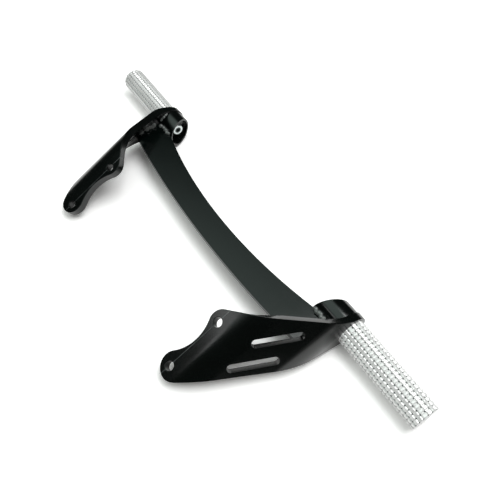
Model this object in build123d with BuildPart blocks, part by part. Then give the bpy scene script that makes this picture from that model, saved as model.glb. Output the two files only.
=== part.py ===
from build123d import *
import os
from math import acos, atan2, cos, hypot, pi, radians, sin, sqrt

# Rear footrest set: two folded side plates welded to a curved crossbar, with a toothed peg
# bolted through a boss at each end. Millimetres. X runs along the pegs (+X to the right peg),
# -Y points to the mounting flanges and +Z is up. Everything is drawn from the middle of the
# peg axis, and set down at the end with the origin under the middle of the finished set.

# Side plates: one blank each, folded twice along parallel lines
plate_t = 8.0
plate_face_x = 173.5          # middle plane to the outer face round the peg
flange_slope = 28.2           # of the mounting flange and both folds, from level
panel_turn = 49.0             # fold between the mounting flange and the slotted panel
bend_r = 34.0                 # outside radius of both folds
peg_flat = 12.0               # peg axis to the start of the lower fold
panel_flat = 32.3             # flat between the folds
hole_flat = 7.7               # upper fold to the line of the mounting holes
flange_drop = 77.2            # peg axis to the upper mounting hole, along the folds
hole_pitch = 57.9             # between the mounting holes
mount_hole_d = 8.8            # clears an M8 screw
peg_end_r = 17.0              # round end of the plate about the peg
upper_lobe_r = 12.5
upper_lobe_offset = (3.0, 2.0)      # lobe centre from its hole: outboard, up the slope
lower_lobe_r = 14.0
lower_lobe_offset = (3.2, 3.1)
waist_r = 40.0                # hollow between the two lobes

# Lightening slots in the panel
slot_length = 46.5
slot_width = 8.4
slot_angle = 53.7             # from the outboard direction
upper_slot_at = (12.1, -48.5)       # from the start of the panel: outboard, up from the peg
lower_slot_at = (14.1, -79.2)

# Crossbar: flat bar cut as a crescent, given by its two edges
bar_t = 5.0
bar_top_z = 6.0
bar_front_mid_y = -59.1
bar_front_end_y = -48.2       # where the edges reach the side plates
bar_back_mid_y = -31.2
bar_back_end_y = -7.8
fit_gap = 0.3                 # left for the weld round the ends of the crossbar

# Bosses: turned from bar, open toward the middle
boss_r = 16.0
boss_wall = 2.2
boss_length = 21.5            # on the axis, out to the plate
boss_skew = 0.52              # slope of the open end
boss_floor = 8.5              # left between the recess and the plate
hole_gap = 0.2                # between a screw and its plain hole

# Pegs
peg_r = 14.0
peg_length = 94.2
peg_edge = 0.5
rib_count = 18
groove_depth = 1.0
groove_half_width = 1.0
tooth_pitch = 4.2
ring_grooves = 21
ring_start = 6.0              # root of the peg to the first groove round it

# Screws that hold the pegs
screw_r = 4.0
screw_length = 45.0
head_r = 6.5
head_h = 8.0
hex_key = 6.0                 # across the flats of the socket
hex_depth = 4.0
screw_edge = 0.6
bore_spare = 5.0              # depth of the peg's bore past the screw

# Weld beads
bead = 3.6                    # leg of a bead, along and up
bead_slope = 40.0
bead_end = 2.5                # kept from the ends of a seam
boss_bead = 2.4
boss_bead_from = 100.0        # beads round the boss: from the back over the top, degrees
boss_bead_turn = 50.0
boss_bead_under = 192.0       # and below the crossbar

far = 400.0                   # longer than anything that it cuts

# Directions along the folds, square to the flange, and out along the pegs
fold_dir = Vector(0, cos(radians(flange_slope)), sin(radians(flange_slope)))
flange_dir = Vector(0, -sin(radians(flange_slope)), cos(radians(flange_slope)))
out_dir = Vector(1, 0, 0)

# The folded section, as distances out and up from the peg axis, seen along the folds
turn = radians(panel_turn)
lower_bend = (plate_face_x - bend_r, peg_flat)
panel_low = (lower_bend[0] + bend_r * sin(turn), lower_bend[1] + bend_r * cos(turn))
panel_high = (panel_low[0] - panel_flat * cos(turn), panel_low[1] + panel_flat * sin(turn))
upper_bend = (panel_high[0] - bend_r * sin(turn), panel_high[1] - bend_r * cos(turn))
flange_end = (upper_bend[0], upper_bend[1] + bend_r)
inner_r = bend_r - plate_t
plate_inner_x = plate_face_x - plate_t

# The same places on the flat blank, measured outboard from the peg axis
blank_lower_start = -peg_flat
blank_lower_end = blank_lower_start - bend_r * (pi / 2 - turn)
blank_upper_start = blank_lower_end - panel_flat
blank_upper_end = blank_upper_start - bend_r * turn
hole_x = blank_upper_end - hole_flat
upper_hole = (hole_x, -flange_drop)
lower_hole = (hole_x, -flange_drop - hole_pitch)


def face_plane(place, angle):
    """Plane on the outer face where the plate has turned by angle from the flange."""
    origin = out_dir * place[0] + flange_dir * place[1]
    across = out_dir * cos(angle) - flange_dir * sin(angle)
    normal = out_dir * sin(angle) + flange_dir * cos(angle)
    return Plane(origin=origin, x_dir=across, z_dir=normal)


def section_plane(axis, angle):
    """Plane across the plate in a bend, with its x along the fold and its y outward."""
    out = axis[0] + bend_r * sin(angle)
    up = axis[1] + bend_r * cos(angle)
    origin = out_dir * out + flange_dir * up
    return Plane(origin=origin, x_dir=fold_dir, z_dir=out_dir * cos(angle) - flange_dir * sin(angle))


def outer_tangent(centre_a, radius_a, centre_b, radius_b, side):
    """Ends of the line that touches two circles on one side."""
    run = hypot(centre_b[0] - centre_a[0], centre_b[1] - centre_a[1])
    heading = atan2(centre_b[1] - centre_a[1], centre_b[0] - centre_a[0])
    normal = heading + side * acos((radius_a - radius_b) / run)
    start = (centre_a[0] + radius_a * cos(normal), centre_a[1] + radius_a * sin(normal))
    end = (centre_b[0] + radius_b * cos(normal), centre_b[1] + radius_b * sin(normal))
    return start, end


def toward(centre, target, distance):
    """Point at a distance from centre on the way to target."""
    run = hypot(target[0] - centre[0], target[1] - centre[1])
    return (
        centre[0] + (target[0] - centre[0]) * distance / run,
        centre[1] + (target[1] - centre[1]) * distance / run,
    )


# Flat blank: round ends about the peg and both mounting holes, straight sides, hollow waist
peg_centre = (0.0, 0.0)
upper_lobe = (upper_hole[0] + upper_lobe_offset[0], upper_hole[1] + upper_lobe_offset[1])
lower_lobe = (lower_hole[0] + lower_lobe_offset[0], lower_hole[1] + lower_lobe_offset[1])
top_line = outer_tangent(upper_lobe, upper_lobe_r, peg_centre, peg_end_r, 1)
bottom_line = outer_tangent(lower_lobe, lower_lobe_r, peg_centre, peg_end_r, -1)

lobe_run = hypot(lower_lobe[0] - upper_lobe[0], lower_lobe[1] - upper_lobe[1])
upper_reach = waist_r + upper_lobe_r
lower_reach = waist_r + lower_lobe_r
waist_along = (upper_reach**2 - lower_reach**2 + lobe_run**2) / (2 * lobe_run)
waist_across = sqrt(upper_reach**2 - waist_along**2)
lobe_step = toward((0, 0), (lower_lobe[0] - upper_lobe[0], lower_lobe[1] - upper_lobe[1]), 1)
waist_centre = (
    upper_lobe[0] + lobe_step[0] * waist_along + lobe_step[1] * waist_across,
    upper_lobe[1] + lobe_step[1] * waist_along - lobe_step[0] * waist_across,
)
upper_joint = toward(upper_lobe, waist_centre, upper_lobe_r)
lower_joint = toward(lower_lobe, waist_centre, lower_lobe_r)

with BuildSketch() as blank:
    with BuildLine():
        Line(top_line[0], top_line[1])
        ThreePointArc(top_line[1], (peg_end_r, 0), bottom_line[1])
        Line(bottom_line[1], bottom_line[0])
        ThreePointArc(bottom_line[0], toward(lower_lobe, (lower_lobe[0], -far), lower_lobe_r), lower_joint)
        ThreePointArc(lower_joint, (waist_centre[0] + waist_r, waist_centre[1]), upper_joint)
        ThreePointArc(upper_joint, toward(upper_lobe, (-far, upper_lobe[1]), upper_lobe_r), top_line[0])
    make_face()


def blank_span(x):
    """Lowest and highest place along the fold where the blank covers x."""
    line = Edge.make_line((x, -far, 0), (x, far, 0))
    box = blank.sketch.face().intersect(line)[0].bounding_box()
    return box.min.Y, box.max.Y


across_folds = Plane(origin=(0, 0, 0), x_dir=out_dir, z_dir=-fold_dir)
bend_steps = 8


def bend_arc(axis, radius, first, last):
    """Start, middle and end of an arc of a bend, as distances out and up."""
    angles = (first, (first + last) / 2, last)
    return [(axis[0] + radius * sin(a), axis[1] + radius * cos(a)) for a in angles]


def plate_bend(axis, first, last, start):
    """One bend of the plate, its two edges following the straight edges of the blank."""
    outer = bend_arc(axis, bend_r, first, last)
    inner = bend_arc(axis, inner_r, first, last)
    with BuildPart(mode=Mode.PRIVATE) as bend:
        with BuildSketch(across_folds):
            with BuildLine():
                ThreePointArc(outer[0], outer[1], outer[2])
                Line(outer[2], inner[2])
                ThreePointArc(inner[2], inner[1], inner[0])
                Line(inner[0], outer[0])
            make_face()
        extrude(amount=far, both=True)
        for edge, side in ((0, -1), (1, 1)):
            for step in range(bend_steps + 1):
                angle = first + (last - first) * step / bend_steps
                seam = blank_span(start + bend_r * (angle - first))[edge]
                with BuildSketch(section_plane(axis, angle)):
                    with Locations((seam + side * far, -plate_t / 2)):
                        Rectangle(2 * far, 2 * plate_t)
            loft(ruled=True, mode=Mode.SUBTRACT)
    return bend.part


# Right side plate: three flats cut from the blank, joined by the two bends
flats = (
    (face_plane((plate_face_x, 0), pi / 2), 0, blank_lower_start, far),
    (face_plane(panel_high, turn), blank_upper_start, blank_upper_start, blank_lower_end),
    (face_plane(flange_end, 0), blank_upper_end, -far, blank_upper_end),
)
ring_plane = flats[0][0]
panel_plane = flats[1][0]
flange_plane = flats[2][0]

with BuildPart() as right_bracket:
    for plane, start, low, high in flats:
        with BuildSketch(plane):
            with Locations((-start, 0)):
                add(blank.sketch)
            with Locations(((low + high) / 2 - start, 0)):
                Rectangle(high - low, 2 * far, mode=Mode.INTERSECT)
        extrude(amount=-plate_t)
    add(plate_bend(upper_bend, 0, turn, blank_upper_end))
    add(plate_bend(lower_bend, turn, pi / 2, blank_lower_end))
    with Locations(flange_plane):
        with Locations((-hole_flat, upper_hole[1]), (-hole_flat, lower_hole[1])):
            Hole(mount_hole_d / 2, depth=plate_t)
    with BuildSketch(panel_plane):
        with Locations(upper_slot_at, lower_slot_at):
            SlotOverall(slot_length, slot_width, rotation=slot_angle)
    extrude(amount=-2 * plate_t, mode=Mode.SUBTRACT)
    with Locations(ring_plane):
        Hole(screw_r + hole_gap, depth=plate_t)


def beyond_plate(gap):
    """Solid that fills everything outboard of the plate's inner faces, less a gap."""
    radius = inner_r - gap
    ring_x = plate_inner_x - gap
    middle = (turn + pi / 2) / 2
    bend_mid = (lower_bend[0] + radius * sin(middle), lower_bend[1] + radius * cos(middle))
    bend_end = (lower_bend[0] + radius * sin(turn), lower_bend[1] + radius * cos(turn))
    panel_far = (bend_end[0] - far * cos(turn), bend_end[1] + far * sin(turn))
    with BuildPart(mode=Mode.PRIVATE) as outside:
        with BuildSketch(across_folds):
            with BuildLine():
                Line((ring_x, -far), (ring_x, peg_flat))
                ThreePointArc((ring_x, peg_flat), bend_mid, bend_end)
                Polyline(bend_end, panel_far, (far, panel_far[1]), (far, -far), (ring_x, -far))
            make_face()
        extrude(amount=far, both=True)
    return outside.part


outside_plate = beyond_plate(0)
outside_bar = beyond_plate(fit_gap)

# Crossbar: crescent in its own plane, its ends coped to the side plates and the bosses
bar_low_z = bar_top_z - bar_t

with BuildPart() as crossbar:
    with BuildSketch(Plane.XY.offset(bar_low_z)):
        with BuildLine():
            ThreePointArc(
                (-plate_inner_x, bar_front_end_y), (0, bar_front_mid_y), (plate_inner_x, bar_front_end_y)
            )
            Line((plate_inner_x, bar_front_end_y), (plate_inner_x, bar_back_end_y))
            ThreePointArc(
                (plate_inner_x, bar_back_end_y), (0, bar_back_mid_y), (-plate_inner_x, bar_back_end_y)
            )
            Line((-plate_inner_x, bar_back_end_y), (-plate_inner_x, bar_front_end_y))
        make_face()
    extrude(amount=bar_t)
    add(outside_bar, mode=Mode.SUBTRACT)
    mirror(outside_bar, about=Plane.YZ, mode=Mode.SUBTRACT)
    boss_reach = boss_length + boss_skew * boss_r
    with BuildSketch(Plane.YZ.offset(plate_inner_x - boss_reach)):
        Circle(boss_r + fit_gap)
    extrude(amount=boss_reach, mode=Mode.SUBTRACT)
    with BuildSketch(Plane.YZ.offset(-plate_inner_x)):
        Circle(boss_r + fit_gap)
    extrude(amount=boss_reach, mode=Mode.SUBTRACT)

# Right boss: skewed at its open end, with a recess for the screw's head
boss_end_x = plate_inner_x - boss_length
floor_x = plate_inner_x - boss_floor

with BuildPart() as right_boss:
    with BuildSketch(Plane.YZ.offset(boss_end_x - boss_skew * boss_r)):
        Circle(boss_r)
    extrude(amount=boss_reach)
    split(bisect_by=Plane(origin=(boss_end_x, 0, 0), z_dir=(1, -boss_skew, 0)), keep=Keep.TOP)
    with BuildSketch(Plane.YZ.offset(floor_x)):
        Circle(boss_r - boss_wall)
    extrude(amount=-boss_reach, mode=Mode.SUBTRACT)
    with BuildSketch(Plane.YZ.offset(floor_x)):
        Circle(screw_r + hole_gap)
    extrude(amount=boss_floor, mode=Mode.SUBTRACT)
    add(outside_plate, mode=Mode.SUBTRACT)

# Right screw, its head on the floor of the recess
with BuildPart() as right_screw:
    with BuildSketch(Plane.YZ.offset(floor_x)):
        Circle(head_r)
    extrude(amount=-head_h)
    with BuildSketch(Plane.YZ.offset(floor_x)):
        Circle(screw_r)
    extrude(amount=screw_length)
    chamfer(right_screw.edges().filter_by(GeomType.CIRCLE).sort_by(Axis.X)[0], screw_edge)
    chamfer(right_screw.edges().filter_by(GeomType.CIRCLE).sort_by(Axis.X)[-1], screw_edge)
    with BuildSketch(Plane.YZ.offset(floor_x - head_h)):
        RegularPolygon(hex_key / 2, 6, major_radius=False)
    extrude(amount=hex_depth, mode=Mode.SUBTRACT)

# Right peg: round bar with grooves round it and along it, which leave rows of teeth
peg_tip_x = plate_face_x + peg_length
screw_end_x = floor_x + screw_length
bore_depth = screw_end_x + bore_spare - plate_face_x
groove_r = peg_r - groove_depth
valley_r = groove_r / cos(pi / rib_count)

peg_sections = [(plate_face_x, peg_r)]
for ring in range(ring_grooves):
    ring_x = plate_face_x + ring_start + ring * tooth_pitch
    peg_sections.append((ring_x - groove_half_width, peg_r))
    peg_sections.append((ring_x, groove_r))
    peg_sections.append((ring_x + groove_half_width, peg_r))
peg_sections.append((peg_tip_x - peg_edge, peg_r))
peg_sections.append((peg_tip_x, peg_r - peg_edge))

with BuildPart() as right_peg:
    for section_x, section_r in peg_sections:
        with BuildSketch(Plane.YZ.offset(section_x)):
            RegularPolygon(section_r, rib_count, major_radius=False)
    loft(ruled=True)
    with BuildSketch(Plane.YZ.offset(plate_face_x)):
        with PolarLocations(valley_r, rib_count):
            Polygon(
                (0, 0),
                (2 * groove_depth, -2 * groove_half_width),
                (2 * groove_depth, 2 * groove_half_width),
                align=None,
            )
    extrude(amount=peg_length, mode=Mode.SUBTRACT)
    with BuildSketch(Plane.YZ.offset(plate_face_x)):
        Circle(screw_r + hole_gap)
    extrude(amount=bore_depth, mode=Mode.SUBTRACT)


def plate_contact(y, z):
    """Distance out to the plate's inner face at a place in front of the boss."""
    up = flange_dir.Y * y + flange_dir.Z * z
    if up < peg_flat:
        return plate_inner_x
    return lower_bend[0] + sqrt(inner_r**2 - (up - lower_bend[1]) ** 2)


def plate_bead(z, direction):
    """Bead in the corner between the crossbar and the side plate."""
    front = bar_front_end_y + bead_end
    back = -boss_r - bead
    front_x = plate_contact(front, z) - bead
    back_x = plate_contact(back, z) - bead
    with BuildPart(mode=Mode.PRIVATE) as seam:
        with BuildSketch(Plane.XY.offset(z)):
            with BuildLine():
                Polyline(
                    (front_x, front), (plate_face_x, front), (plate_face_x, back), (back_x, back), close=True
                )
            make_face()
        extrude(amount=direction * bead, taper=bead_slope)
        add(outside_plate, mode=Mode.SUBTRACT)
    return seam.part


def boss_side_bead(z, direction):
    """Bead in the corner between the crossbar and the boss."""
    seam_y = -sqrt(boss_r**2 - z**2)
    start_x = boss_end_x + boss_skew * seam_y + bead_end
    end_x = plate_contact(-boss_r, z) - bead
    with BuildPart(mode=Mode.PRIVATE) as seam:
        with BuildSketch(Plane.XY.offset(z)):
            with BuildLine():
                Polyline(
                    (start_x, seam_y - bead), (end_x, seam_y - bead), (end_x, 0), (start_x, 0), close=True
                )
            make_face()
        extrude(amount=direction * bead, taper=bead_slope)
        with BuildSketch(Plane.YZ.offset(boss_end_x - boss_reach)):
            Circle(boss_r)
        extrude(amount=2 * boss_reach, mode=Mode.SUBTRACT)
    return seam.part


def boss_end_bead(start_angle):
    """Bead round the boss, in the corner that it makes with the side plate."""
    with BuildPart(mode=Mode.PRIVATE) as seam:
        with BuildSketch(Plane.XY.rotated((start_angle, 0, 0))):
            with Locations((plate_inner_x, boss_r)):
                Polygon((0, 0), (-boss_bead, 0), (0, boss_bead), align=None)
        revolve(axis=Axis.X, revolution_arc=boss_bead_turn)
        add(outside_plate, mode=Mode.SUBTRACT)
    return seam.part


right_pieces = {
    "bracket": right_bracket.part,
    "boss": right_boss.part,
    "peg": right_peg.part,
    "peg_screw": right_screw.part,
    "plate_weld_top": plate_bead(bar_top_z, 1),
    "plate_weld_bottom": plate_bead(bar_low_z, -1),
    "side_weld_top": boss_side_bead(bar_top_z, 1),
    "side_weld_bottom": boss_side_bead(bar_low_z, -1),
    "boss_weld_top": boss_end_bead(boss_bead_from),
    "boss_weld_bottom": boss_end_bead(boss_bead_under),
}

# Every piece at the right has its mirror image at the left
pieces = {"crossbar": crossbar.part}
for name, piece in right_pieces.items():
    pieces["right_" + name] = piece
    pieces["left_" + name] = mirror(piece, about=Plane.YZ)

# The set stands on the round ends of its plates, and reaches forward to the lower lobes
front_y = flange_dir.Y * flange_end[1] + fold_dir.Y * (lower_lobe[1] - lower_lobe_r)
set_down = Location((0, -(front_y + peg_end_r) / 2, peg_end_r))
print("peg axis at y", round(set_down.position.Y, 3), "z", round(set_down.position.Z, 3))

os.makedirs("parts", exist_ok=True)
for name, piece in pieces.items():
    placed = piece.moved(set_down)
    placed.label = name
    print(name, "volume", round(placed.volume))
    export_step(placed, "parts/" + name + ".step")
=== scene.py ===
# %% [markdown]
# # Rear footrest set
# A footrest set for a motorbike: two folded side plates, a curved bar welded between them,
# and a toothed peg at each end. Its solids are loaded first, as a fixed frame. Every piece
# that is made below takes its place from them, so nothing has to be fitted by eye.

import random
from math import cos, degrees, pi, radians, sin, sqrt

import bmesh
import bpy
from mathutils import Matrix, Vector


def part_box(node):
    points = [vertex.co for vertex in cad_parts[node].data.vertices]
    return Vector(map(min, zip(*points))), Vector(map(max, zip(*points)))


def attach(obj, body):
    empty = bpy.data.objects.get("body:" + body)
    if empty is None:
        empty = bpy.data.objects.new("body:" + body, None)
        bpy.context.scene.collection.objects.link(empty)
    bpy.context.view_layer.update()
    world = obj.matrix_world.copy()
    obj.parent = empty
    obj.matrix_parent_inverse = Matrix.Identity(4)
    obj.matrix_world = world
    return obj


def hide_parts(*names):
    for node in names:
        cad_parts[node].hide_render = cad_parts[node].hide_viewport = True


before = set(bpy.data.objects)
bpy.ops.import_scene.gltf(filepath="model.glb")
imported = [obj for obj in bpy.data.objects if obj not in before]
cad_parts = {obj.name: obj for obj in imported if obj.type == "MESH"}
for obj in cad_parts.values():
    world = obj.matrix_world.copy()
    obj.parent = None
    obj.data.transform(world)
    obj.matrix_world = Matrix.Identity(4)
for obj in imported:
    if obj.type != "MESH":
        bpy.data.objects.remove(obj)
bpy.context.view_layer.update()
MM = 0.001
SIDES = {"right": 1, "left": -1}

# %% [markdown]
# ## Camera
# The picture was taken from above and in front, over the right peg. A camera looks along its
# own -Z, so its matrix is built from three directions: right, up and backward. The lens is as
# long as the sensor is wide, which gives the picture's moderate perspective.

# %% Place the camera
CAMERA_PLACE = Vector((290.2, -114.7, 429.3)) * MM
CAMERA_PITCH = 0.9561  # radians below the level
CAMERA_YAW = 0.587
LENS_LENGTH = 36
SENSOR_WIDTH = 36
NEAREST = 0.01
FARTHEST = 50

level = Vector((-cos(CAMERA_YAW), sin(CAMERA_YAW), 0))
right = Vector((sin(CAMERA_YAW), cos(CAMERA_YAW), 0))
forward = level * cos(CAMERA_PITCH) - Vector((0, 0, sin(CAMERA_PITCH)))
upward = right.cross(forward)

camera_data = bpy.data.cameras.new("camera")
camera_data.lens = LENS_LENGTH
camera_data.sensor_width = SENSOR_WIDTH
camera_data.clip_start = NEAREST
camera_data.clip_end = FARTHEST
camera = bpy.data.objects.new("camera", camera_data)
bpy.context.scene.collection.objects.link(camera)
turned = Matrix((right, upward, -forward)).transposed().to_4x4()
camera.matrix_world = Matrix.Translation(CAMERA_PLACE) @ turned
bpy.context.scene.camera = camera
bpy.context.scene.view_settings.view_transform = "Standard"
print("camera looks", round(degrees(CAMERA_PITCH), 1), "degrees down")

# %% [markdown]
# ## Shader values as Python
# A shader is a graph of small nodes. Wiring them by hand hides the sums, so one class wraps a
# socket and gives it the usual operators: `1 - mask * 0.3` then adds the Math nodes by itself.
# A finish is a recipe that owns one node graph and can add any other kind of node to it.

# %% Shader helpers
class Value:
    """A socket of a shader graph that can be used in an expression."""

    def __init__(self, recipe, socket):
        self.recipe = recipe
        self.socket = socket

    def math(self, operation, first, second=0.0):
        return self.recipe.node("Math", {"operation": operation}, {0: first, 1: second})

    def __add__(self, other):
        return self.math("ADD", self, other)

    def __sub__(self, other):
        return self.math("SUBTRACT", self, other)

    def __rsub__(self, other):
        return self.math("SUBTRACT", other, self)

    def __mul__(self, other):
        return self.math("MULTIPLY", self, other)

    def __truediv__(self, other):
        return self.math("DIVIDE", self, other)

    def __gt__(self, other):
        return self.math("GREATER_THAN", self, other)

    def __lt__(self, other):
        return self.math("LESS_THAN", self, other)

    def __abs__(self):
        return self.math("ABSOLUTE", self)

    __radd__ = __add__
    __rmul__ = __mul__


class Finish:
    """The node graph of one finish, of the floor or of the surroundings."""

    def __init__(self, owner):
        owner.use_nodes = True
        self.owner = owner
        self.tree = owner.node_tree
        self.tree.nodes.clear()

    def node(self, kind, settings=None, inputs=None, output=0):
        """Adds a node. Its inputs are sockets or plain values. Returns one of its outputs."""
        made = self.tree.nodes.new("ShaderNode" + kind)
        for name, value in (settings or {}).items():
            setattr(made, name, value)
        for name, value in (inputs or {}).items():
            if isinstance(value, Value):
                self.tree.links.new(value.socket, made.inputs[name])
            else:
                made.inputs[name].default_value = value
        return Value(self, made.outputs[output]) if made.outputs else None

    def place(self):
        return self.node("TexCoord", output="Object")

    def noise(self, scale, detail=2.0, at=None):
        inputs = {"Vector": at or self.place(), "Scale": scale, "Detail": detail}
        return self.node("TexNoise", None, inputs)

    def from_whole(self, value):
        """Distance to the nearest whole number."""
        return self.node("Math", {"operation": "PINGPONG"}, {0: value, 1: 0.5})

    def ramp(self, value, low, high):
        """0 below low and 1 above high, straight between them."""
        limits = {"Value": value, "From Min": low, "From Max": high}
        return self.node("MapRange", {"clamp": True}, limits)

    def mix(self, factor, first, second):
        """The first colour at factor 0 and the second at factor 1."""
        inputs = {"Factor": factor, 6: first, 7: second}
        return self.node("Mix", {"data_type": "RGBA"}, inputs, output=2)

    def finish(self, shader):
        kind = "World" if isinstance(self.owner, bpy.types.World) else "Material"
        self.node("Output" + kind, None, {"Surface": shader})
        return self.owner


# %% [markdown]
# ## Light and floor
# Black paint shows hardly any colour of its own: what one sees on it is the room. Here the
# room is dark but for one big soft patch of light, high up in front and to the left. Faces that
# mirror the patch turn grey and the others stay black. The dot product of two directions is the
# cosine of the angle between them, so a smooth ramp on it draws a round patch with a soft rim.
# Light that bounces off dull surfaces gets a little more from all round, which lifts shadows.

# %% Surroundings
PATCH_TURN = radians(-158)
PATCH_HEIGHT = radians(70)
PATCH_CORE = radians(19)
PATCH_RIM = radians(37)
PATCH_GLOW = 1.0
ROOM_GLOW = 0.02
FILL_GLOW = 0.34
MIRRORED_TINT = (0.82, 1.0, 0.93, 1)
FILL_TINT = (1.0, 1.0, 0.97, 1)

patch_way = (
    cos(PATCH_HEIGHT) * cos(PATCH_TURN), cos(PATCH_HEIGHT) * sin(PATCH_TURN), sin(PATCH_HEIGHT)
)
surround = Finish(bpy.data.worlds.new("surround"))
bpy.context.scene.world = surround.owner
direction = surround.node("TexCoord", output="Generated")
nearness = surround.node(
    "VectorMath", {"operation": "DOT_PRODUCT"}, {0: direction, 1: patch_way}, "Value"
)
patch = surround.node("MapRange", {"clamp": True, "interpolation_type": "SMOOTHSTEP"}, {
    "Value": nearness, "From Min": cos(PATCH_RIM), "From Max": cos(PATCH_CORE),
})
softened = surround.node("LightPath", output="Is Diffuse Ray")
tint = surround.mix(softened, MIRRORED_TINT, FILL_TINT)
room_light = surround.node("Background", None, {
    "Color": tint, "Strength": patch * PATCH_GLOW + ROOM_GLOW + softened * FILL_GLOW,
})
plain_white = surround.node("Background", None, {"Color": (1, 1, 1, 1), "Strength": 1.0})
seen = surround.node("LightPath", output="Is Camera Ray")
surround.finish(surround.node("MixShader", None, {0: seen, 1: room_light, 2: plain_white}))


# %% [markdown]
# Two lamps finish the light. The key lamp stands behind the set, so that the shadows fall to
# the front, as they do in the picture. A slim lamp in front adds the narrow streaks along the
# folds and the round pieces. The floor is white card. The camera sees it a little brighter
# than it is, so that the ground is white and keeps its soft shadows. Far from the set the card
# turns to plain white by itself, and no edge or horizon shows. Mirror-like faces see the lit
# card only near the set, and a darker table beyond, which keeps steep faces of paint dark.

# %% Lamps
def soft_lamp(name, place, target, width, height, power):
    """A square lamp at one place that faces another, in metres and watts."""
    data = bpy.data.lights.new(name, "AREA")
    data.shape = "RECTANGLE"
    data.size = width
    data.size_y = height
    data.energy = power
    lamp = bpy.data.objects.new(name, data)
    bpy.context.scene.collection.objects.link(lamp)
    lamp.location = place
    lamp.visible_camera = False
    lamp.rotation_euler = (Vector(target) - Vector(place)).to_track_quat("-Z", "Y").to_euler()
    return lamp


soft_lamp("key_lamp", (0.30, 0.52, 1.45), (0, 0, 0), 1.2, 0.9, 16)
soft_lamp("slim_lamp", (-0.36, -1.0, 1.06), (0, 0, 0), 0.5, 0.1, 0.4)

# %% Floor
FLOOR_SIZE = 12.0
FLOOR_GAP = 0.3 * MM
CARD_SHADE = 0.82
CARD_CLOUDS = 0.02
SEEN_SHADE = 1.3
MIRRORED_SHADE = 1.0
TABLE_START = 0.26
TABLE_END = 0.42
TABLE_DARKER = 0.9
FADE_START = 0.5
FADE_END = 1.0

white = Finish(bpy.data.materials.new("floor_white"))
to_camera = white.node("LightPath", output="Is Camera Ray")
to_mirror = white.node("LightPath", output="Is Glossy Ray")
distance = white.node("VectorMath", {"operation": "LENGTH"}, {0: white.place()}, "Value")
lit_part = 1 - white.ramp(distance, TABLE_START, TABLE_END) * TABLE_DARKER
shade = (
    white.noise(1.5) * CARD_CLOUDS + CARD_SHADE
    + to_camera * (SEEN_SHADE - CARD_SHADE) + to_mirror * (lit_part * MIRRORED_SHADE - CARD_SHADE)
)
colour = white.node("CombineColor", None, {"Red": shade, "Green": shade, "Blue": shade})
card = white.node("BsdfDiffuse", None, {"Color": colour})
glow = white.node("Emission", None, {"Color": (1, 1, 1, 1), "Strength": 1.0})
faded = white.ramp(distance, FADE_START, FADE_END) * to_camera
white.finish(white.node("MixShader", None, {0: faded, 1: card, 2: glow}))

floor_mesh = bpy.data.meshes.new("floor")
work = bmesh.new()
bmesh.ops.create_grid(work, x_segments=1, y_segments=1, size=FLOOR_SIZE / 2)
bmesh.ops.translate(work, verts=work.verts, vec=(0, 0, -FLOOR_GAP))
work.to_mesh(floor_mesh)
work.free()
floor = bpy.data.objects.new("floor", floor_mesh)
bpy.context.scene.collection.objects.link(floor)
floor_mesh.materials.append(white.owner)
print("floor", FLOOR_SIZE, "m wide")

# %% [markdown]
# ## Finishes
# The steel is painted a deep gloss black. Sprayed paint is never a perfect mirror: it has a
# fine orange-peel ripple and slightly duller patches, so noise feeds its bump and roughness.
# A coat over the colour gives the sharper reflection that lies on top. The side plates get a
# thin, lighter line across them, through their mounting holes.


# %% Black paint
CLOUD_SCALE = 38.0  # noise scales: the higher, the finer
PEEL_SCALE = 420.0
GRAIN_SCALE = 1500.0
SPECK_SCALE = 2600.0
SPECK_SHADE = (0.02, 0.022, 0.022, 1)
LINE_SHADE = (0.09, 0.1, 0.1, 1)
LINE_HALF = 0.15 * MM
LINE_FADE = 0.4 * MM
HOLE_LINE = 110.6 * MM


def black_paint(name, shade, dull, ripple, coat=0.35, line_at=None):
    """Gloss paint over steel. A line, if any, is at one distance out from the middle plane."""
    paint = Finish(bpy.data.materials.new(name))
    patches = paint.noise(CLOUD_SCALE, 4.0)
    grain = paint.noise(GRAIN_SCALE, 2.0)
    peel = paint.noise(PEEL_SCALE, 3.0)
    speck = paint.ramp(paint.noise(SPECK_SCALE, 1.0), 0.72, 0.78)
    tone = paint.mix(patches, (*[v * 0.8 for v in shade], 1), (*[v * 1.25 for v in shade], 1))
    colour = paint.mix(speck * 0.3, tone, SPECK_SHADE)
    # A thin line of lighter tone at one distance out along X, its strength varied along it by
    # noise.
    if line_at:
        across = abs(paint.node("SeparateXYZ", None, {"Vector": paint.place()}, "X"))
        line_breaks = paint.ramp(paint.noise(90.0), 0.35, 0.65) * 0.7 + 0.3
        line = 1 - paint.ramp(abs(across - line_at), LINE_HALF, LINE_FADE)
        colour = paint.mix(line * line_breaks, colour, LINE_SHADE)
    bump = paint.node("Bump", None, {
        "Strength": ripple, "Distance": 0.02 * MM, "Height": peel * 0.8 + grain * 0.2,
    })
    rough = dull + (patches - 0.5) * 0.14 + (grain - 0.5) * 0.06
    shader = paint.node("BsdfPrincipled", None, {
        "Base Color": colour, "Roughness": rough, "Normal": bump,
        "Coat Weight": coat, "Coat Roughness": 0.12,
    })
    return paint.finish(shader)


PLATE_SHADE = (0.0016, 0.0024, 0.0021)

plate_paint = black_paint("plate_paint", PLATE_SHADE, 0.2, 0.35, line_at=HOLE_LINE)
boss_paint = black_paint("boss_paint", PLATE_SHADE, 0.17, 0.3)
bar_paint = black_paint("bar_paint", (0.0014, 0.0030, 0.0026), 0.15, 0.3, 0.1)
# The beads' shade, far lighter than the plates' black, is painted sheen: it stands in for the
# glints on their rippled ridges.
weld_paint = black_paint("weld_paint", (0.11, 0.12, 0.115), 0.08, 0.5, 1.0)


# %% [markdown]
# The pegs are bare aluminium, turned and then grooved. Bare metal has no colour layer of its
# own: it is nearly all reflection. Fine turning marks run round the peg, so a wave along X
# drives the bump. The light is weak in a pit between the teeth, and so the pits get a dark tone.

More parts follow.
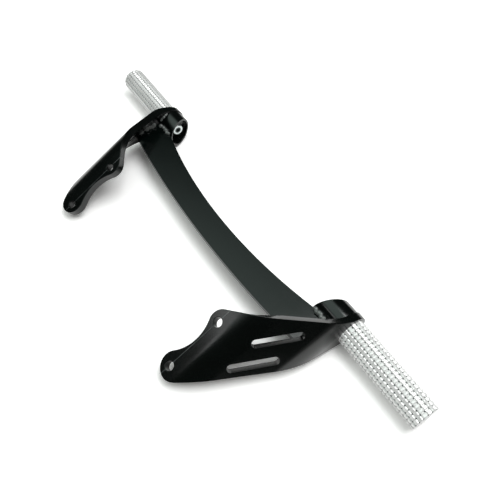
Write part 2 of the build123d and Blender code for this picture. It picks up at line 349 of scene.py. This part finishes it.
# %% Bare metals
DEEP_SHADE = (0.03, 0.036, 0.036, 1)
METAL_CLOUDS = 160.0


def bare_metal(name, shade, dull, marks, mark_scale, sheen=1.0, darker=None):
    """Turned metal. The darker function, if any, says where shade is painted, from 0 to 1."""
    metal = Finish(bpy.data.materials.new(name))
    at = metal.place()
    cloud = metal.noise(METAL_CLOUDS, 3.0, at)
    turned_marks = metal.node("TexWave", {"wave_type": "BANDS", "bands_direction": "X"}, {
        "Vector": at, "Scale": mark_scale, "Distortion": 1.5, "Detail": 2.0,
    }, output="Fac")
    tone = metal.mix(cloud, (*[v * 0.93 for v in shade], 1), (*shade, 1))
    if darker:
        tone = metal.mix(darker(metal, at), tone, DEEP_SHADE)
    bump = metal.node("Bump", None, {
        "Strength": marks, "Distance": 0.01 * MM, "Height": turned_marks,
    })
    shader = metal.node("BsdfPrincipled", None, {
        "Base Color": tone, "Metallic": sheen,
        "Roughness": dull + (cloud - 0.5) * 0.12, "Normal": bump,
    })
    return metal.finish(shader)


peg_low, peg_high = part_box("right_peg")
peg_middle = (peg_low + peg_high) / 2
PEG_ROOT = 173.5
PEG_R = 14.0
RIDGES = 18
RING_START = 6.0
RING_PITCH = 4.2
PIT_CORE = 0.35
PIT_RIM = 0.9
SKIN = 1.4
SOCKET_R = 3.9


def pit_shade(metal, at):
    """Painted shade in the pits where a groove round the peg crosses one along it, fainter along
    the grooves.
    """
    x = abs(metal.node("SeparateXYZ", None, {"Vector": at}, "X")) / MM
    y = metal.node("SeparateXYZ", None, {"Vector": at}, "Y") - peg_middle.y
    z = metal.node("SeparateXYZ", None, {"Vector": at}, "Z") - peg_middle.z
    angle = metal.node("Math", {"operation": "ARCTAN2"}, {0: z, 1: y})
    from_line = metal.from_whole(angle * (RIDGES / (2 * pi))) * (2 * pi * PEG_R / RIDGES)
    from_ring = metal.from_whole((x - PEG_ROOT - RING_START) / RING_PITCH) * RING_PITCH
    in_line = 1 - metal.ramp(from_line, PIT_CORE, PIT_RIM)
    in_ring = 1 - metal.ramp(from_ring, PIT_CORE, PIT_RIM)
    near_skin = (y * y + z * z) > (PEG_R - SKIN) ** 2 * MM**2
    return (in_line * in_ring * 0.8 + in_line * 0.16 + in_ring * 0.04) * near_skin


peg_metal = bare_metal("peg_metal", (0.97, 0.97, 0.965), 0.3, 0.4, 900.0, 0.4, pit_shade)


def socket_shade(metal, at):
    """Painted shade near the peg axis, over the inside of a screw's socket and a little round it.
    """
    y = metal.node("SeparateXYZ", None, {"Vector": at}, "Y") - peg_middle.y
    z = metal.node("SeparateXYZ", None, {"Vector": at}, "Z") - peg_middle.z
    return ((y * y + z * z) < (SOCKET_R * MM) ** 2) * 0.72


zinc_metal = bare_metal("zinc_metal", (0.76, 0.82, 0.81), 0.3, 0.3, 1400.0, 1.0, socket_shade)


# %% [markdown]
# ## Rounded copies of the solids
# A solid's corners are perfectly sharp, and sharp corners catch no light. Painted steel shows a
# thin bright line along each edge, where the corner is rounded. So each shown piece starts as a
# copy of its solid. The copy's loose triangles are merged, its flat areas are dissolved into
# single faces, and its corners are bevelled with an operator.

# %% Helper for rounded copies
CORNER = radians(28)
FLAT = radians(0.6)
MERGE = 2e-6
ROUND_STEPS = 2


def add_piece(name, work, finish, slot, *nodes):
    """Turns a bmesh into a shown piece that stands for one or more solids."""
    for face in work.faces:
        face.smooth = True
    for edge in work.edges:
        edge.smooth = edge.calc_face_angle(0) < CORNER
    mesh = bpy.data.meshes.new(name)
    work.to_mesh(mesh)
    work.free()
    mesh.materials.append(finish)
    piece = bpy.data.objects.new(name, mesh)
    bpy.context.scene.collection.objects.link(piece)
    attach(piece, "root")
    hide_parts(*nodes)
    return piece


def merged_copy(node):
    """A solid's mesh with its loose triangles merged and its flat areas as single faces."""
    work = bmesh.new()
    work.from_mesh(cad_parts[node].data)
    bmesh.ops.remove_doubles(work, verts=work.verts, dist=MERGE)
    bmesh.ops.dissolve_limit(
        work, angle_limit=FLAT, verts=work.verts, edges=work.edges, use_dissolve_boundaries=False
    )
    return work


def rounded_copy(node, radius, finish, slot):
    """The piece of one solid, its corners rounded by a radius in millimetres."""
    work = merged_copy(node)
    corners = [e for e in work.edges if e.is_manifold and e.calc_face_angle() > CORNER]
    bmesh.ops.bevel(
        work, geom=corners, offset=radius * MM, offset_type="OFFSET", affect="EDGES",
        segments=ROUND_STEPS, profile=0.5, material=-1, clamp_overlap=False,
    )
    piece = add_piece(node + "_look", work, finish, slot, node)
    even = piece.modifiers.new("even_normals", "WEIGHTED_NORMAL")
    even.keep_sharp = True
    print(node, "faces", len(piece.data.polygons))


# %% Painted steel pieces
rounded_copy("crossbar", 0.4, bar_paint, "black_paint")
for side in SIDES:
    rounded_copy(side + "_bracket", 0.55, plate_paint, "black_paint")

# %% Screws
for side in SIDES:
    rounded_copy(side + "_peg_screw", 0.25, zinc_metal, "zinc_plate")

# %% [markdown]
# ## Turned pieces
# A round solid comes with few flat sides, which show on gloss paint. So the bosses are turned
# again here as loops of many points. A loop is a list of (distance out, radius) pairs, and its
# points go round the peg axis. Bands of faces between neighbouring loops make the skin.

# %% Helpers for loops round the peg axis
axis_y, axis_z = peg_middle.y, peg_middle.z


def add_loop(work, way, place, angles):
    """A loop of points. place(angle) gives the distance out and the radius, in millimetres."""
    points = []
    for angle in angles:
        out, radius = place(angle)
        points.append(work.verts.new((
            way * out * MM, axis_y + radius * cos(angle) * MM, axis_z + radius * sin(angle) * MM
        )))
    return points


def join_loops(work, first, second, closed=True):
    """Four-cornered faces between two loops of as many points."""
    count = len(first)
    for index in range(count if closed else count - 1):
        after = (index + 1) % count
        work.faces.new((first[index], first[after], second[after], second[index]))


def outward(work):
    """Turns every face so that its front is on the outside."""
    bmesh.ops.recalc_face_normals(work, faces=work.faces)


# %% Bosses
BOSS_R = 16.0
RECESS_R = 13.8
RECESS_FLOOR = 157.0
HOLE_R = 4.2
PLATE_INSIDE = 165.5
MOUTH = 144.0
MOUTH_SKEW = 0.52  # the mouth is cut at a slant
RIM_ROUND = 0.6
RIM_STEPS = 4
POINTS_ROUND = 128

full_turn = [2 * pi * index / POINTS_ROUND for index in range(POINTS_ROUND)]
boss_loops = (
    lambda a: (PLATE_INSIDE, BOSS_R),
    lambda a: (MOUTH + MOUTH_SKEW * BOSS_R * cos(a), BOSS_R),
    lambda a: (MOUTH + MOUTH_SKEW * RECESS_R * cos(a), RECESS_R),
    lambda a: (RECESS_FLOOR, RECESS_R),
    lambda a: (RECESS_FLOOR, HOLE_R),
    lambda a: (PLATE_INSIDE, HOLE_R),
)
for side, way in SIDES.items():
    work = bmesh.new()
    loops = [add_loop(work, way, place, full_turn) for place in boss_loops]
    for index, loop in enumerate(loops):
        join_loops(work, loop, loops[(index + 1) % len(loops)])
    outward(work)
    mouth = set(loops[1]) | set(loops[2])
    rim = [e for e in work.edges if set(e.verts) <= mouth and e.calc_face_angle() > CORNER]
    bmesh.ops.bevel(
        work, geom=rim, offset=RIM_ROUND * MM, offset_type="OFFSET", affect="EDGES",
        segments=RIM_STEPS, profile=0.5, material=-1,
    )
    piece = add_piece(side + "_boss_look", work, boss_paint, "black_paint", side + "_boss")
    print(side, "boss faces", len(piece.data.polygons))

# %% [markdown]
# The pegs get their teeth the same way. The radius at each point is the bar's radius less the
# depth of the nearest groove, round the bar or along it, whichever is deeper there. Points lie
# close together beside the grooves and far apart on the flat tops of the teeth.

# %% Toothed pegs
PEG_TIP = PEG_ROOT + 94.2
TIP_CORNER = 0.5
GROOVE_DEPTH = 1.0
GROOVE_HALF = 0.9
SHOULDER = 1.35
RINGS = 21
STEPS = (0.0, 0.25, 0.5, 0.75, 1.0, SHOULDER)


def groove(distance):
    """Depth of a groove at a distance from its middle, in millimetres, with a soft shoulder."""
    share = max(0.0, 1 - abs(distance) / (GROOVE_HALF * SHOULDER))
    return GROOVE_DEPTH * min(1.0, share**1.3 * 1.1)


offsets = sorted({sign * step * GROOVE_HALF for step in STEPS for sign in (-1, 1)})
depth_at = {}
for ridge in range(RIDGES):
    for offset in offsets:
        depth_at[2 * pi * ridge / RIDGES + offset / PEG_R] = groove(offset)
outs = [(PEG_ROOT, 0.0), (PEG_ROOT + RING_START / 2, 0.0)]
for ring in range(RINGS):
    for offset in offsets:
        outs.append((PEG_ROOT + RING_START + ring * RING_PITCH + offset, groove(offset)))
outs.append((PEG_TIP - TIP_CORNER, 0.0))

for side, way in SIDES.items():
    work = bmesh.new()
    loops = []
    for out, ring_depth in outs:
        loops.append(add_loop(
            work, way, lambda a: (out, PEG_R - max(ring_depth, depth_at[a])), depth_at
        ))
    loops.append(add_loop(
        work, way, lambda a: (PEG_TIP, PEG_R - TIP_CORNER - depth_at[a]), depth_at
    ))
    for first, second in zip(loops[:-1], loops[1:]):
        join_loops(work, first, second)
    work.faces.new(loops[0])
    work.faces.new(loops[-1])
    outward(work)
    piece = add_piece(side + "_peg_look", work, peg_metal, "bright_aluminium", side + "_peg")
    print(side, "peg faces", len(piece.data.polygons))

# %% [markdown]
# ## Weld beads
# A weld is a row of small pools of metal that froze one on the other. So a bead starts as a row
# of flattened balls along its seam, each a little different, and a voxel remesh melts them into
# one skin that keeps the ripples.

# %% Helper for beads
POOL_STEP = 0.6
POOL_SIZES = (0.62, 1.08)
POOL_WOBBLE = 0.3
VOXEL = 0.35 * MM

dice = random.Random(7)


def weld_bead(node, seam, radius):
    """A rippled bead along a seam, given as points in metres. The radius is in millimetres."""
    work = bmesh.new()
    step = radius * POOL_STEP * MM
    for start, end in zip(seam[:-1], seam[1:]):
        count = max(1, round((end - start).length / step))
        for index in range(count):
            place = start.lerp(end, index / count)
            size = radius * dice.uniform(*POOL_SIZES)
            wobble = [dice.uniform(-POOL_WOBBLE, POOL_WOBBLE) * radius * MM for _ in range(3)]
            ball = bmesh.ops.create_icosphere(work, subdivisions=2, radius=size * MM)
            bmesh.ops.translate(work, verts=ball["verts"], vec=place + Vector(wobble))
    piece = add_piece(node + "_look", work, weld_paint, "weld_paint", node)
    melt = piece.modifiers.new("melt", "REMESH")
    melt.mode = "VOXEL"
    melt.voxel_size = VOXEL
    melt.use_smooth_shade = True


# %% Beads along their seams
PLATE_BEAD = 3.6
SIDE_BEAD = 2.9
BOSS_BEAD = 2.0
INSET = 0.6 * MM
FROM_PLATE = 1.2 * MM
END_GAP = 2 * MM
BOSS_SEAMS = (("top", 104, 146), ("bottom", 196, 238))  # degrees round the boss
BOSS_STEPS = 6

bar_low, bar_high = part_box("crossbar")
for side, way in SIDES.items():
    boss_low, boss_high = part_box(side + "_boss")
    boss_y = (boss_low.y + boss_high.y) / 2
    boss_z = (boss_low.z + boss_high.z) / 2
    boss_r = (boss_high.z - boss_low.z) / 2
    plate_x = max(abs(boss_low.x), abs(boss_high.x))
    for level_name, z, lift in (("top", bar_high.z, 1), ("bottom", bar_low.z, -1)):
        low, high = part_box(side + "_plate_weld_" + level_name)
        x = way * (PLATE_INSIDE * MM - FROM_PLATE)
        seam = [Vector((x, y, z + lift * 2 * INSET)) for y in (low.y, high.y - MM)]
        weld_bead(side + "_plate_weld_" + level_name, seam, PLATE_BEAD)
        low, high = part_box(side + "_side_weld_" + level_name)
        y = boss_y - sqrt(boss_r**2 - (z - boss_z) ** 2) - 2 * INSET
        ends = (low.x + END_GAP, high.x - END_GAP)
        seam = [Vector((x, y, z + lift * 2 * INSET)) for x in ends]
        weld_bead(side + "_side_weld_" + level_name, seam, SIDE_BEAD)
    for level_name, first, last in BOSS_SEAMS:
        seam = []
        for step in range(BOSS_STEPS + 1):
            angle = radians(first + (last - first) * step / BOSS_STEPS)
            seam.append(Vector((
                way * (plate_x - INSET), boss_y + boss_r * cos(angle), boss_z + boss_r * sin(angle)
            )))
        weld_bead(side + "_boss_weld_" + level_name, seam, BOSS_BEAD)
    print(side, "boss radius in mm:", round(boss_r / MM, 2), "with six beads by it")
